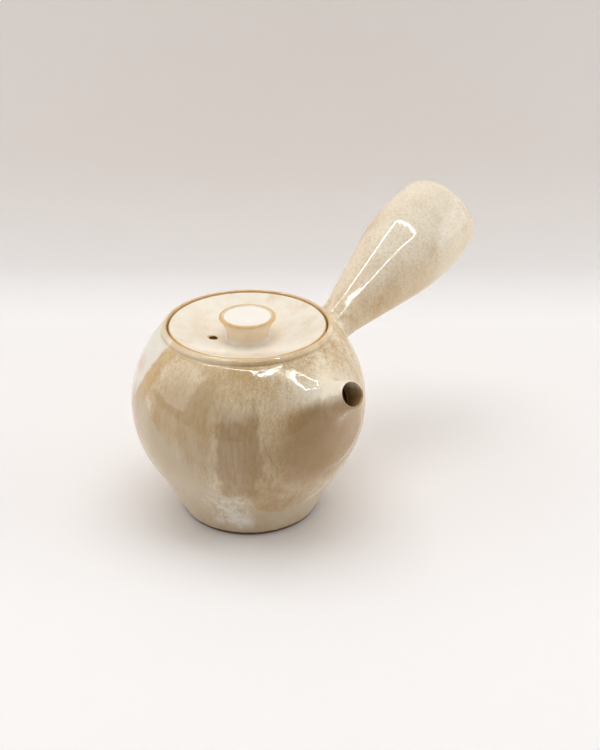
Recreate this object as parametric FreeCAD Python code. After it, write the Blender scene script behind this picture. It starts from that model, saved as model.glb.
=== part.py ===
import FreeCAD, Part
import math
import os

# A side-handled teapot in fired clay: a thrown pot with a short spout and a
# long hollow handle luted on at a right angle, a pierced strainer dome inside
# the spout, and a sunken lid with a knob. Sizes are in millimetres.
# The origin is the middle of the foot, on the surface the pot stands on.
# +X runs along the handle, -Y along the spout, +Z up.

# Pot
belly_radius = 48.0
belly_height = 48.3
rim_height = 82.6
foot_radius = 28.3
lower_curve = 44.0
flank_angle = 32.0
wall = 3.0
floor_thickness = 4.0
floor_corner = 4.0
foot_recess = 2.0
foot_ring_width = 5.0
foot_edge = 0.6

# Rim and the seat that carries the lid
rim_width = 2.2
lip_height = 1.6
neck_height = 1.4
neck_groove = 0.8
shoulder_step = 1.1
seat_depth = 4.8
shelf_thickness = 3.5

# Lid
lid_radius = 31.7
lid_side_gap = 0.6
lid_drop = 0.3
lid_edge_round = 0.8
lid_thickness = 3.0
dish_depth = 7.0
flange_radius = 27.4
flange_gap = 0.4
flange_wall = 3.0
flange_depth = 8.2
vent_radius = 1.7
vent_distance = 13.9
vent_bearing = 142.5

# Knob
knob_height = 10.5
knob_base_radius = 8.2
knob_lip_radius = 11.5
knob_lip_height = 0.7
knob_dish_radius = 9.8
knob_dish_depth = 2.8
knob_waist_draw = 0.5

# Spout
spout_drop = 44.0
spout_rise = 30.4
spout_reach = 70.3
spout_tip_radius = 5.4
spout_tip_wall = 0.75
spout_tip_angle = 9.0
spout_tube_length = 7.3
spout_flare_curve = 18.0
spout_flare_angle = 40.0
spout_root_reach = 40.0
spout_hole_radius = 10.0
spout_throat_reach = 50.0

# Strainer
strainer_seat = 3.0
strainer_wall = 2.2
strainer_hole_radius = 0.8
strainer_hole_pitch = 2.9
strainer_pierced_angle = 52.0

# Handle
handle_drop = 40.6
handle_rise = 28.0
handle_root_reach = 44.0
handle_root_radius = 8.2
handle_neck = 50.0
handle_taper = 15.0
handle_crown_reach = 112.0
handle_crown_radius = 19.9
handle_crown_curve = 87.0
handle_end_angle = 8.4
handle_shoulder = 8.5
handle_wall = 3.0

# Levels and radii that follow from the sizes above
up = (0.0, 1.0)
down = (0.0, -1.0)
outward = (1.0, 0.0)
rim_inner_radius = lid_radius + lid_side_gap
lip_radius = rim_inner_radius + rim_width
lip_foot = rim_height - lip_height
neck_foot = lip_foot - neck_height
shoulder_radius = lip_radius + shoulder_step
seat_height = rim_height - seat_depth
shelf_underside = seat_height - shelf_thickness
mouth_radius = flange_radius + flange_gap
floor_height = foot_recess + floor_thickness
lid_top = rim_height - lid_drop
dish_bottom = lid_top - dish_depth

# The spout and the handle hang from the rim: each axis crosses the pot's own
# axis this far below it. The handle is at its waist one neck before the crown.
spout_axis_height = rim_height - spout_drop
handle_axis_height = rim_height - handle_drop
handle_waist_reach = handle_crown_reach - handle_neck

# The shoulder is one arc that leaves the belly upright and meets the neck
shoulder_run = belly_radius - shoulder_radius
shoulder_climb = neck_foot - belly_height
shoulder_curve = (shoulder_run ** 2 + shoulder_climb ** 2) / (2 * shoulder_run)


def polar(radius, degrees):
    angle = math.radians(degrees)
    return radius * math.cos(angle), radius * math.sin(angle)


def arc_middle(start, heading, end):
    """Middle of the arc that leaves start along heading and ends at end."""
    chord_r = end[0] - start[0]
    chord_z = end[1] - start[1]
    ahead = heading[0] * chord_r + heading[1] * chord_z
    aside = heading[0] * chord_z - heading[1] * chord_r
    sag = 0.5 * math.tan(0.5 * math.atan2(aside, ahead))
    middle_r = 0.5 * (start[0] + end[0]) + sag * chord_z
    middle_z = 0.5 * (start[1] + end[1]) - sag * chord_r
    return middle_r, middle_z


class Outline:
    """Half a section, drawn in radius and height as lines and arcs."""

    def __init__(self, radius, height):
        self.first = (radius, height)
        self.here = self.first
        self.edges = []

    def line(self, end):
        self.edges.append(Part.LineSegment(point(self.here), point(end)).toShape())
        self.here = end

    def arc(self, middle, end):
        bow = Part.Arc(point(self.here), point(middle), point(end))
        self.edges.append(bow.toShape())
        self.here = end

    def leave(self, heading, end):
        """An arc that sets off along heading."""
        self.arc(arc_middle(self.here, heading, end), end)

    def arrive(self, heading, end):
        """An arc that comes in along heading."""
        back = (-heading[0], -heading[1])
        self.arc(arc_middle(end, back, self.here), end)

    def spun(self):
        """The solid that the closed outline makes when it turns on its axis."""
        if self.here != self.first:
            self.line(self.first)
        face = Part.Face(Part.Wire(self.edges))
        axis = FreeCAD.Vector(0, 0, 1)
        return Part.Solid(face.revolve(FreeCAD.Vector(0, 0, 0), axis, 360).Shells[0])


def point(place):
    return FreeCAD.Vector(place[0], 0, place[1])


# The flank leaves the belly's lower arc at a set angle and sweeps in to the foot
flank_heading = polar(1.0, 90.0 - flank_angle)
belly_drop_r, belly_drop_z = polar(lower_curve, flank_angle)
flank_top = (belly_radius - lower_curve + belly_drop_r, belly_height - belly_drop_z)


def pot_outside():
    """The pot as if it were solid right through."""
    outline = Outline(0, 0)
    outline.line((foot_radius - foot_edge, 0))
    outline.line((foot_radius, foot_edge))
    outline.arrive(flank_heading, flank_top)
    outline.arrive(up, (belly_radius, belly_height))
    outline.leave(up, (shoulder_radius, neck_foot))
    groove_bottom = (lip_radius - neck_groove, neck_foot + 0.45 * neck_height)
    outline.arc(groove_bottom, (lip_radius, lip_foot))
    outline.leave(up, (rim_inner_radius, rim_height))
    outline.line((0, rim_height))
    return outline.spun()


def pot_hollow():
    """The space inside the pot, with the mouth and the seat of the lid."""
    inner_lower = lower_curve - wall
    drop_r, drop_z = polar(inner_lower, flank_angle)
    inner_flank_top = (belly_radius - lower_curve + drop_r, belly_height - drop_z)
    inner_shoulder = shoulder_curve - wall
    climb = shelf_underside - belly_height
    reach = math.sqrt(inner_shoulder ** 2 - climb ** 2)
    shelf_root = belly_radius - shoulder_curve + reach
    floor_radius = foot_radius - wall
    outline = Outline(0, floor_height)
    outline.line((floor_radius - floor_corner, floor_height))
    outline.leave(outward, (floor_radius + 0.3 * floor_corner, floor_height + floor_corner))
    outline.arrive(flank_heading, inner_flank_top)
    outline.arrive(up, (belly_radius - wall, belly_height))
    outline.leave(up, (shelf_root, shelf_underside))
    outline.line((mouth_radius, shelf_underside))
    outline.line((mouth_radius, seat_height))
    outline.line((rim_inner_radius, seat_height))
    outline.line((rim_inner_radius, rim_height + lip_height))
    outline.line((0, rim_height + lip_height))
    return outline.spun()


def along_spout(shape):
    """Stands a shape that was made upright on the spout's axis."""
    tilt = FreeCAD.Rotation(FreeCAD.Vector(1, 0, 0), 90 - spout_rise)
    foot = FreeCAD.Vector(0, 0, spout_axis_height)
    shape.Placement = FreeCAD.Placement(foot, tilt).multiply(shape.Placement)
    return shape


def along_handle(shape):
    """Stands a shape that was made upright on the handle's axis."""
    tilt = FreeCAD.Rotation(FreeCAD.Vector(0, 1, 0), 90 - handle_rise)
    foot = FreeCAD.Vector(0, 0, handle_axis_height)
    shape.Placement = FreeCAD.Placement(foot, tilt).multiply(shape.Placement)
    return shape


def make_pot_body(outside, hollow):
    recess_radius = foot_radius - foot_ring_width
    recess = Part.makeCylinder(recess_radius, foot_recess)
    hole = along_spout(Part.makeCylinder(spout_hole_radius, spout_reach))
    return outside.cut(hollow).cut(recess).cut(hole)


def make_spout(outside):
    """A short tube that flares into the pot, hollow from the tip to the pot's hole."""
    tip_bore = spout_tip_radius - spout_tip_wall
    lip_round = 0.5 * spout_tip_wall
    lip_start = spout_reach - lip_round
    tube_r, tube_z = polar(1.0, spout_tip_angle)
    flare_r, flare_z = polar(1.0, spout_flare_angle)
    tube_end = lip_start - spout_tube_length
    tube_radius = spout_tip_radius + spout_tube_length * tube_z / tube_r
    flare_end = tube_end - spout_flare_curve * (flare_z - tube_z)
    flare_radius = tube_radius + spout_flare_curve * (tube_r - flare_r)
    root_radius = flare_radius + (flare_end - spout_root_reach) * flare_z / flare_r
    outline = Outline(spout_hole_radius, spout_root_reach)
    outline.line((root_radius, spout_root_reach))
    outline.line((flare_radius, flare_end))
    outline.leave((-flare_z, flare_r), (tube_radius, tube_end))
    outline.line((spout_tip_radius, lip_start))
    outline.arc((spout_tip_radius - lip_round, spout_reach), (tip_bore, lip_start))
    outline.leave(down, (spout_hole_radius, spout_throat_reach))
    return along_spout(outline.spun()).cut(outside)


def strainer_centre():
    """How far along the spout's axis the inside of the pot's wall lies."""
    radius = shoulder_curve - wall
    rise_r, rise_z = polar(1.0, spout_rise)
    off_r = belly_radius - shoulder_curve
    off_z = belly_height - spout_axis_height
    ahead = off_r * rise_r + off_z * rise_z
    return ahead + math.sqrt(ahead ** 2 - off_r ** 2 - off_z ** 2 + radius ** 2)


def make_strainer(hollow):
    """A pierced dome on the inside of the wall, over the spout's hole."""
    dome_radius = spout_hole_radius + strainer_seat
    dome = Part.makeSphere(dome_radius).cut(Part.makeSphere(dome_radius - strainer_wall))
    pitch = math.degrees(strainer_hole_pitch / dome_radius)
    rows = int(strainer_pierced_angle / pitch)
    drill_start = FreeCAD.Vector(0, 0, dome_radius - 1.5 * strainer_wall)
    drills = []
    for row in range(rows + 1):
        holes = max(1, 6 * row)
        for hole in range(holes):
            drill = Part.makeCylinder(strainer_hole_radius, 2 * strainer_wall, drill_start)
            lean = FreeCAD.Rotation(FreeCAD.Vector(0, 1, 0), 180 - row * pitch)
            turn = FreeCAD.Rotation(FreeCAD.Vector(0, 0, 1), 360.0 * hole / holes)
            drill.Placement = FreeCAD.Placement(FreeCAD.Vector(0, 0, 0), turn.multiply(lean))
            drills.append(drill)
    dome = dome.cut(Part.makeCompound(drills))
    lift = FreeCAD.Placement(FreeCAD.Vector(0, 0, strainer_centre()), FreeCAD.Rotation())
    dome.Placement = lift
    return along_spout(dome).common(hollow)


def make_handle(outside):
    """A thrown tube that swells to the hand and turns in at its open end."""
    taper_r, taper_z = polar(1.0, handle_taper)
    end_r, end_z = polar(1.0, handle_end_angle)
    hub = (handle_crown_radius - handle_crown_curve, handle_crown_reach)
    inner_curve = handle_crown_curve - handle_wall
    taper_end = (hub[0] + handle_crown_curve * taper_r, hub[1] - handle_crown_curve * taper_z)
    inner_taper_end = (hub[0] + inner_curve * taper_r, hub[1] - inner_curve * taper_z)
    cone_drop = (taper_end[1] - handle_waist_reach) * taper_z / taper_r
    waist = (taper_end[0] - cone_drop, handle_waist_reach)
    inner_waist = (waist[0] - handle_wall * taper_r, waist[1] + handle_wall * taper_z)
    shoulder_start = (hub[0] + handle_crown_curve * end_r, hub[1] + handle_crown_curve * end_z)
    inner_shoulder = (hub[0] + inner_curve * end_r, hub[1] + inner_curve * end_z)
    turn_radius = shoulder_start[0] - handle_shoulder * end_r
    end_reach = shoulder_start[1] + handle_shoulder * (1 - end_z)
    half_wall = 0.5 * handle_wall
    outline = Outline(handle_root_radius - handle_wall, handle_root_reach)
    outline.line((handle_root_radius, handle_root_reach))
    outline.arrive((taper_z, taper_r), waist)
    outline.line(taper_end)
    outline.arc((handle_crown_radius, handle_crown_reach), shoulder_start)
    outline.leave((-end_z, end_r), (turn_radius, end_reach))
    outline.arc((turn_radius - half_wall, end_reach - half_wall), (turn_radius, end_reach - handle_wall))
    outline.arrive((end_z, -end_r), inner_shoulder)
    outline.arc((handle_crown_radius - handle_wall, handle_crown_reach), inner_taper_end)
    outline.line(inner_waist)
    outline.leave((-taper_z, -taper_r), outline.first)
    return along_handle(outline.spun()).cut(outside)


def make_lid():
    """A dished plate with a rounded edge, a flange that drops into the mouth and a vent."""
    dish_edge = lid_radius - lid_edge_round
    dish_curve = (dish_edge ** 2 + dish_depth ** 2) / (2 * dish_depth)
    underside_curve = dish_curve + lid_thickness
    hub_height = dish_bottom + dish_curve
    flange_inner = flange_radius - flange_wall
    underside_climb = math.sqrt(underside_curve ** 2 - flange_inner ** 2)
    flange_foot = seat_height - flange_depth
    flange_round = 0.5 * flange_wall
    outline = Outline(0, dish_bottom)
    outline.leave(outward, (dish_edge, lid_top))
    outline.leave(outward, (lid_radius, lid_top - lid_edge_round))
    outline.line((lid_radius, seat_height))
    outline.line((flange_radius, seat_height))
    outline.line((flange_radius, flange_foot + flange_round))
    outline.arc((flange_radius - flange_round, flange_foot), (flange_inner, flange_foot + flange_round))
    outline.line((flange_inner, hub_height - underside_climb))
    outline.arrive((-1.0, 0.0), (0, hub_height - underside_curve))
    lid = outline.spun()
    vent = Part.makeCylinder(vent_radius, rim_height)
    vent_x, vent_y = polar(vent_distance, vent_bearing)
    vent.translate(FreeCAD.Vector(vent_x, vent_y, 0))
    return lid.cut(vent)


def make_knob(lid):
    """A cone that flares to a dished top, luted to the middle of the lid."""
    top = dish_bottom + knob_height
    lip_middle = top - knob_lip_height
    dish_curve = (knob_dish_radius ** 2 + knob_dish_depth ** 2) / (2 * knob_dish_depth)
    waist_radius = 0.5 * (knob_base_radius + knob_lip_radius) - knob_waist_draw
    waist_height = 0.5 * (dish_bottom + lip_middle)
    outline = Outline(0, dish_bottom - lid_thickness / 2)
    outline.line((knob_base_radius, dish_bottom - lid_thickness / 2))
    outline.line((knob_base_radius, dish_bottom))
    outline.arc((waist_radius, waist_height), (knob_lip_radius, lip_middle))
    outline.leave(up, (knob_dish_radius, top))
    dish_hub = top - knob_dish_depth + dish_curve
    dish_heading = (-(dish_hub - top) / dish_curve, -knob_dish_radius / dish_curve)
    outline.leave(dish_heading, (0, top - knob_dish_depth))
    return outline.spun().cut(lid)


def write(name, shape):
    """One file for each piece, after a check that it is sound."""
    solids = shape.Solids
    if not solids or not shape.isValid():
        raise ValueError(name + " is not a sound solid")
    whole = solids[0] if len(solids) == 1 else Part.makeCompound(solids)
    whole.exportStep("parts/" + name + ".step")
    box = whole.optimalBoundingBox(False)
    low = (round(box.XMin, 2), round(box.YMin, 2), round(box.ZMin, 2))
    high = (round(box.XMax, 2), round(box.YMax, 2), round(box.ZMax, 2))
    print(name, len(solids), "solid,", round(whole.Volume / 1000, 2), "ml of clay,", low, high)


os.makedirs("parts", exist_ok=True)
outside = pot_outside()
hollow = pot_hollow()
lid = make_lid()
write("pot_body", make_pot_body(outside, hollow))
write("spout", make_spout(outside))
write("strainer", make_strainer(hollow))
write("handle", make_handle(outside))
write("lid", lid)
write("lid_knob", make_knob(lid))

to_seat = Part.makeBox(4 * belly_radius, 4 * belly_radius, shelf_underside)
to_seat.translate(FreeCAD.Vector(-2 * belly_radius, -2 * belly_radius, 0))
print("holds", round(hollow.common(to_seat).Volume / 1000), "ml to under the lid's seat")
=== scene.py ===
import math

import bpy
import numpy as np
from mathutils import Matrix, Vector


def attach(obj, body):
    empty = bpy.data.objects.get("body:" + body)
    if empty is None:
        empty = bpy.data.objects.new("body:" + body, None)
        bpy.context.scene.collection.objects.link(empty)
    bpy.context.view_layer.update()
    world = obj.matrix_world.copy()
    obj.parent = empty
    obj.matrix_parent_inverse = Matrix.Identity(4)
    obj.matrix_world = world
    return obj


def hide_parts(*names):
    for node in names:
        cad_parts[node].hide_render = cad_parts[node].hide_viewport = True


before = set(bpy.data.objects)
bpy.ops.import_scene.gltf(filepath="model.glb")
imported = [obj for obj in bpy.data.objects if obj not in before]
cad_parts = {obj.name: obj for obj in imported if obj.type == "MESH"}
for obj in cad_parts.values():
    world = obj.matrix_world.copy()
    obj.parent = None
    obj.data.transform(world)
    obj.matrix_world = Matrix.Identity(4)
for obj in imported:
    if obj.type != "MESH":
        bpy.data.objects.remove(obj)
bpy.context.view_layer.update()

# The pot: pale stoneware thrown on a wheel, a round belly on a trimmed foot ring, with a groove under the rolled
# rim and a seat for the lid inside it. A hole in the wall opens into the spout. The glaze is dipped and poured.

MM = 0.001
UP, DOWN, OUTWARD, INWARD = (0.0, 1.0), (0.0, -1.0), (1.0, 0.0), (-1.0, 0.0)


def polar(length, degrees):
    return length * math.cos(math.radians(degrees)), length * math.sin(math.radians(degrees))


class Rib:
    """Half a section of the clay, as the potter's rib would draw it: points of radius and height in mm."""

    def __init__(self, radius, height):
        self.points = [(radius, height)]
        self.soft = []
        self.rubbed = []

    def straight(self, end, spacing=1.2):
        start = self.points[-1]
        steps = max(1, math.ceil(math.dist(start, end) / spacing))
        for i in range(1, steps + 1):
            self.points.append(tuple(a + (b - a) * i / steps for a, b in zip(start, end)))
        return self

    def bow(self, start, heading, end, spacing):
        """Points of the arc that leaves start along heading and ends at end."""
        chord = (end[0] - start[0], end[1] - start[1])
        length = math.hypot(*chord)
        turn = math.atan2(heading[0] * chord[1] - heading[1] * chord[0],
                          heading[0] * chord[0] + heading[1] * chord[1])
        steps = max(4, math.ceil(length / spacing))
        found = []
        for i in range(1, steps + 1):
            swing = turn * i / steps
            reach = length * (math.sin(swing) / math.sin(turn) if abs(turn) > 1e-6 else i / steps)
            found.append((start[0] + reach * (heading[0] * math.cos(swing) - heading[1] * math.sin(swing)),
                          start[1] + reach * (heading[0] * math.sin(swing) + heading[1] * math.cos(swing))))
        return found

    def leave(self, heading, end, spacing=1.0):
        self.points += self.bow(self.points[-1], heading, end, spacing)
        return self

    def arrive(self, heading, end, spacing=1.0):
        back = self.bow(end, (-heading[0], -heading[1]), self.points[-1], spacing)
        self.points += back[::-1][1:] + [end]
        return self

    def corner(self, softness, thin=0.0, width=1.0):
        """Rounds the last point over this length, and says how thin the glaze lies there."""
        self.soft.append((self.points[-1], softness))
        if thin:
            self.rubbed.append((self.points[-1], thin, width))
        return self

    def rub(self, place, thin, width):
        """Says that round this place the glaze lies thin."""
        self.rubbed.append((place, thin, width))
        return self

    def section(self):
        """The softened outline, and for each of its points how thin the glaze lies, from 0 to 1."""
        line = np.array(self.points)
        for corner, softness in self.soft:
            at = int(np.argmin(np.hypot(*(line - corner).T)))
            run = np.concatenate([[0], np.cumsum(np.hypot(*np.diff(line, axis=0).T))])
            span = min(softness, 0.9 * run[at] if at else softness, 0.9 * (run[-1] - run[at]))
            ends = [np.array([np.interp(run[at] + side, run, line[:, k]) for k in (0, 1)])
                    for side in (-span, span)]
            t = np.linspace(0, 1, 7)[:, None]
            bend = ends[0] * (1 - t) ** 2 + 2 * t * (1 - t) * line[at] + ends[1] * t ** 2
            before, after = line[run < run[at] - span - 1e-6], line[run > run[at] + span + 1e-6]
            line = np.concatenate([before, bend, after])
        thin = np.zeros(len(line))
        run = np.concatenate([[0], np.cumsum(np.hypot(*np.diff(line, axis=0).T))])
        for corner, amount, width in self.rubbed:
            at = int(np.argmin(np.hypot(*(line - corner).T)))
            fade = np.clip(1 - np.abs(run - run[at]) / width, 0, 1)
            thin = np.maximum(thin, amount * fade * fade * (3 - 2 * fade))
        return line, thin


def template(name, line, thin):
    """The rib as an object that the wheel can read: a row of points with their glaze."""
    mesh = bpy.data.meshes.new(name)
    mesh.from_pydata([(r * MM, 0, z * MM) for r, z in line], [(i, i + 1) for i in range(len(line) - 1)], [])
    mesh.attributes.new("thin", "FLOAT", "POINT").data.foreach_set("value", thin.astype(np.float32))
    piece = bpy.data.objects.new(name, mesh)
    bpy.context.scene.collection.objects.link(piece)
    return piece


def new_tree(name, sizes):
    """An empty node tree with a geometry socket at each end and an input for each named size."""
    tree = bpy.data.node_groups.new(name, "GeometryNodeTree")
    tree.interface.new_socket("Geometry", in_out="INPUT", socket_type="NodeSocketGeometry")
    tree.interface.new_socket("Geometry", in_out="OUTPUT", socket_type="NodeSocketGeometry")
    for size, kind in sizes:
        tree.interface.new_socket(size, in_out="INPUT", socket_type="NodeSocket" + kind)
    return tree, tree.nodes.new("NodeGroupInput"), tree.nodes.new("NodeGroupOutput")


def put(tree, kind, wires=(), **settings):
    """Adds a node, sets its options, and feeds its inputs with values or with other nodes' outputs."""
    node = tree.nodes.new(kind)
    for key, value in settings.items():
        setattr(node, key, value)
    for socket, value in (wires.items() if isinstance(wires, dict) else enumerate(wires)):
        if isinstance(value, bpy.types.NodeSocket):
            tree.links.new(value, node.inputs[socket])
        else:
            node.inputs[socket].default_value = value
    return node


def sums(tree, how, *values):
    """One arithmetic node's result."""
    return put(tree, "ShaderNodeMath", values, operation=how).outputs[0]


def build_wheel():
    """The wheel turns a template round the upright axis and leaves the faint spiral of the fingers."""
    tree, given, made = new_tree("thrown_on_the_wheel", [
        ("Steps round", "Int"), ("Ring depth", "Float"), ("Ring pitch", "Float")])
    drawing = given.outputs["Geometry"]
    count = put(tree, "GeometryNodeAttributeDomainSize", [drawing], component="MESH").outputs["Point Count"]
    rows = sums(tree, "ADD", given.outputs["Steps round"], 1)
    sheet = put(tree, "GeometryNodeMeshGrid", {
        "Size X": 1.0, "Size Y": 1.0, "Vertices X": count, "Vertices Y": rows})
    place = put(tree, "ShaderNodeSeparateXYZ", [put(tree, "GeometryNodeInputPosition").outputs[0]])
    along = sums(tree, "MULTIPLY", sums(tree, "ADD", place.outputs["X"], 0.5),
                 sums(tree, "SUBTRACT", count, 1))
    index = sums(tree, "ROUND", along)
    angle = sums(tree, "MULTIPLY", sums(tree, "ADD", place.outputs["Y"], 0.5), 2 * math.pi)
    drawn = put(tree, "GeometryNodeSampleIndex", data_type="FLOAT_VECTOR", domain="POINT", wires={
        "Geometry": drawing, "Index": index, "Value": put(tree, "GeometryNodeInputPosition").outputs[0]})
    named = put(tree, "GeometryNodeInputNamedAttribute", {"Name": "thin"}, data_type="FLOAT")
    thin = put(tree, "GeometryNodeSampleIndex", data_type="FLOAT", domain="POINT", wires={
        "Geometry": drawing, "Index": index, "Value": named.outputs["Attribute"]})
    rib = put(tree, "ShaderNodeSeparateXYZ", [drawn.outputs[0]])
    spiral = sums(tree, "ADD", angle, sums(tree, "MULTIPLY", 2 * math.pi, sums(
        tree, "DIVIDE", rib.outputs["Z"], given.outputs["Ring pitch"])))
    from_middle = put(tree, "ShaderNodeMapRange", [rib.outputs["X"], 2 * MM, 8 * MM, 0.0, 1.0]).outputs[0]
    ring = sums(tree, "MULTIPLY", sums(tree, "SINE", spiral), sums(
        tree, "MULTIPLY", given.outputs["Ring depth"], from_middle))
    radius = sums(tree, "ADD", rib.outputs["X"], ring)
    turned = put(tree, "ShaderNodeCombineXYZ", [
        sums(tree, "MULTIPLY", radius, sums(tree, "COSINE", angle)),
        sums(tree, "MULTIPLY", radius, sums(tree, "SINE", angle)), rib.outputs["Z"]])
    kept = put(tree, "GeometryNodeStoreNamedAttribute", {
        "Geometry": sheet.outputs["Mesh"], "Name": "thin", "Value": thin.outputs[0]},
        data_type="FLOAT", domain="POINT")
    shaped = put(tree, "GeometryNodeSetPosition", {
        "Geometry": kept.outputs[0], "Position": turned.outputs[0]})
    closed = put(tree, "GeometryNodeMergeByDistance", {
        "Geometry": shaped.outputs[0], "Distance": 0.0005 * MM})
    faced = put(tree, "GeometryNodeFlipFaces", [closed.outputs[0]])
    smooth = put(tree, "GeometryNodeSetShadeSmooth", {"Geometry": faced.outputs[0]})
    tree.links.new(smooth.outputs[0], made.inputs[0])
    return tree


wheel = build_wheel()


def throw(name, rib, steps, ring_depth, ring_pitch, glaze, trim=None):
    """Turns a rib into a piece of clay, which trim may cut further, and leaves it as a plain glazed mesh."""
    piece = template(name, *rib.section())
    tree, given, made = new_tree("make_" + name, [
        ("Steps round", "Int"), ("Ring depth", "Float"), ("Ring pitch", "Float"), ("Seed", "Int")])
    turned = put(tree, "GeometryNodeGroup", node_tree=wheel)
    for socket in ("Geometry", "Steps round", "Ring depth", "Ring pitch"):
        tree.links.new(given.outputs[socket], turned.inputs[socket])
    clay = turned.outputs[0]
    if trim:
        clay = trim(tree, clay, given.outputs["Seed"])
    real = put(tree, "GeometryNodeRealizeInstances", [clay])
    dressed = put(tree, "GeometryNodeSetMaterial", {"Geometry": real.outputs[0], "Material": glaze})
    tree.links.new(dressed.outputs[0], made.inputs[0])
    turning = piece.modifiers.new("wheel", "NODES")
    turning.node_group = tree
    chosen = {"Steps round": steps, "Ring depth": ring_depth * MM, "Ring pitch": ring_pitch * MM, "Seed": 7}
    for socket in tree.interface.items_tree:
        if socket.in_out == "INPUT" and socket.name in chosen:
            turning[socket.identifier] = chosen[socket.name]
    fired = bpy.data.meshes.new_from_object(piece.evaluated_get(bpy.context.evaluated_depsgraph_get()))
    fired.materials.clear()
    fired.materials.append(glaze)
    fired.polygons.foreach_set("material_index", np.zeros(len(fired.polygons), dtype=np.int32))
    piece.modifiers.remove(turning)
    piece.data = fired
    return piece


def drill(tree, wide, narrow, depth, place, lean=(0, 0, 0)):
    """A cutter of these radii at its top and bottom, hung by its top from its place in mm."""
    cutter = put(tree, "GeometryNodeMeshCone", {
        "Vertices": 72, "Radius Top": wide * MM, "Radius Bottom": narrow * MM, "Depth": depth * MM})
    lowered = put(tree, "GeometryNodeTransform", {
        "Geometry": cutter.outputs["Mesh"], "Translation": (0, 0, -depth * MM / 2)})
    return put(tree, "GeometryNodeTransform", {
        "Geometry": lowered.outputs[0], "Translation": [c * MM for c in place], "Rotation": lean}).outputs[0]


def cut_away(tree, clay, *cutters, solver="EXACT"):
    """Takes the cutters out of the clay. The exact solver also takes cutters that cross each other."""
    cut = put(tree, "GeometryNodeMeshBoolean", operation="DIFFERENCE", solver=solver)
    if solver == "EXACT":
        cut.inputs["Self Intersection"].default_value = True
    tree.links.new(clay, cut.inputs["Mesh 1"])
    for cutter in cutters:
        tree.links.new(cutter, cut.inputs["Mesh 2"])
    return cut.outputs["Mesh"]


def new_group(name, takes, gives):
    """An empty group of shader nodes with named inputs and outputs."""
    tree = bpy.data.node_groups.new(name, "ShaderNodeTree")
    for way, sockets in (("INPUT", takes), ("OUTPUT", gives)):
        for title, kind in sockets:
            tree.interface.new_socket(title, in_out=way, socket_type="NodeSocket" + kind)
    return tree, tree.nodes.new("NodeGroupInput").outputs, tree.nodes.new("NodeGroupOutput").inputs


def grain(tree, place, scale, detail=3.0, roughness=0.55, stretch=(1, 1, 1)):
    """Noise from 0 to 1 that can be drawn out one way."""
    if stretch != (1, 1, 1):
        place = put(tree, "ShaderNodeMapping", {"Vector": place, "Scale": stretch}).outputs[0]
    return put(tree, "ShaderNodeTexNoise", {"Vector": place, "Scale": scale, "Detail": detail,
                                            "Roughness": roughness}).outputs[0]


def between(tree, value, low, high, start=0.0, end=1.0):
    """A soft step: start below low, end above high."""
    return put(tree, "ShaderNodeMapRange", [value, low, high, start, end],
               interpolation_type="SMOOTHSTEP").outputs[0]


def blend(tree, share, first, second):
    """Mixes two colours."""
    mix = put(tree, "ShaderNodeMix", data_type="RGBA", blend_type="MIX")
    for socket, value in ((0, share), (6, first), (7, second)):
        if isinstance(value, bpy.types.NodeSocket):
            tree.links.new(value, mix.inputs[socket])
        else:
            mix.inputs[socket].default_value = value
    return mix.outputs[2]


def tone(red, green, blue):
    """A colour as it is read off a swatch from 0 to 255."""
    linear = [((c / 255 + 0.055) / 1.055) ** 2.4 for c in (red, green, blue)]
    return (*linear, 1.0)


cream, frost = tone(240, 224, 194), tone(246, 237, 218)
cool, white = tone(238, 235, 226), tone(253, 249, 240)
tan, umber, honey = tone(197, 164, 114), tone(160, 126, 82), tone(205, 168, 112)
ochre, rust, bare = tone(221, 182, 127), tone(128, 84, 42), tone(108, 72, 36)
slate, blush = tone(198, 180, 152), tone(228, 172, 158)


def build_ash_glaze():
    """Wood-ash glaze: cream clouds over tan, fine strands down the pot, white crystals gathered in specks."""
    tree, given, made = new_group("ash_glaze", [
        ("Place", "Vector"), ("Cream", "Float"), ("Frost", "Float"), ("Runs", "Float")], [
        ("Color", "Color"), ("Dry", "Float"), ("Relief", "Float")])
    place = given["Place"]
    cloud = grain(tree, place, 62.0, 5.0, 0.6, (1, 1, 0.6))
    strand = grain(tree, place, 620.0, 3.0, 0.6, (1, 1, 0.16))
    stroke = grain(tree, place, 1700.0, 2.0, 0.5, (1, 1, 0.4))
    clump = grain(tree, place, 260.0, 4.0, 0.65, (1, 1, 0.7))
    cells = put(tree, "ShaderNodeMapping", {"Vector": place, "Scale": (1, 1, 0.62)})
    crystal = put(tree, "ShaderNodeTexVoronoi", {"Vector": cells.outputs[0], "Scale": 1250.0}, feature="F1")
    creamy = between(tree, sums(tree, "ADD", cloud, given["Cream"]), 0.36, 0.70)
    colour = blend(tree, creamy, tan, cream)
    runs = sums(tree, "MULTIPLY", given["Runs"], between(tree, strand, 0.42, 0.66))
    colour = blend(tree, runs, colour, umber)
    colour = blend(tree, between(tree, stroke, 0.46, 0.66, 0.0, 0.24), colour, frost)
    speck = sums(tree, "MULTIPLY", between(tree, crystal.outputs["Distance"], 0.16, 0.52, 1.0, 0.0),
                 between(tree, clump, 0.40, 0.60))
    dry = sums(tree, "MULTIPLY", given["Frost"], speck)
    colour = blend(tree, dry, colour, frost)
    tree.links.new(colour, made["Color"])
    tree.links.new(dry, made["Dry"])
    tree.links.new(sums(tree, "ADD", speck, sums(tree, "MULTIPLY", stroke, 0.7)), made["Relief"])
    return tree


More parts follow.
